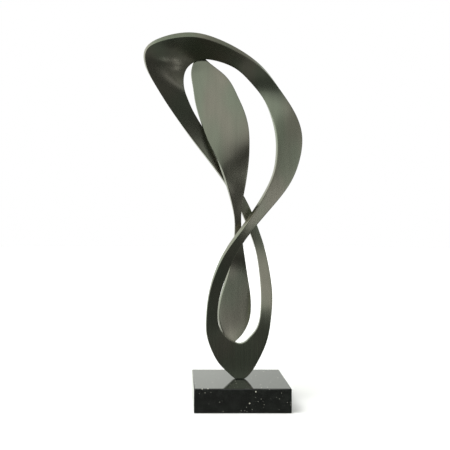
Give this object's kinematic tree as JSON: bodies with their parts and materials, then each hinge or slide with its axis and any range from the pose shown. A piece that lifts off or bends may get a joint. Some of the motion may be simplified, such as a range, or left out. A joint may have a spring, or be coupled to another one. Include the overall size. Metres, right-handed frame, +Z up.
{
  "type": "abstract metal sculpture",
  "caption": "Abstract sculpture of dark brushed steel plate: a twisted, looping ribbon around a narrow-waisted leaf, on a square polished granite plinth.",
  "frame": {"origin": "centre of the plinth's underside, on the surface that the sculpture stands on", "axes": "+Z up; the front of the work faces -Y; +X to the right as seen from the front; the plinth's sides are parallel to X and Y"},
  "size_m": [0.2584, 0.15, 0.588],
  "materials": {
    "brushed_metal": "dark gunmetal, brushed upright to a satin",
    "black_granite": "polished black granite with small pale flecks, opaque"
  },
  "bodies": {
    "root": {"loop_ribbon": "brushed_metal", "leaf_blade": "brushed_metal", "granite_plinth": "black_granite"}
  },
  "joints": []
}
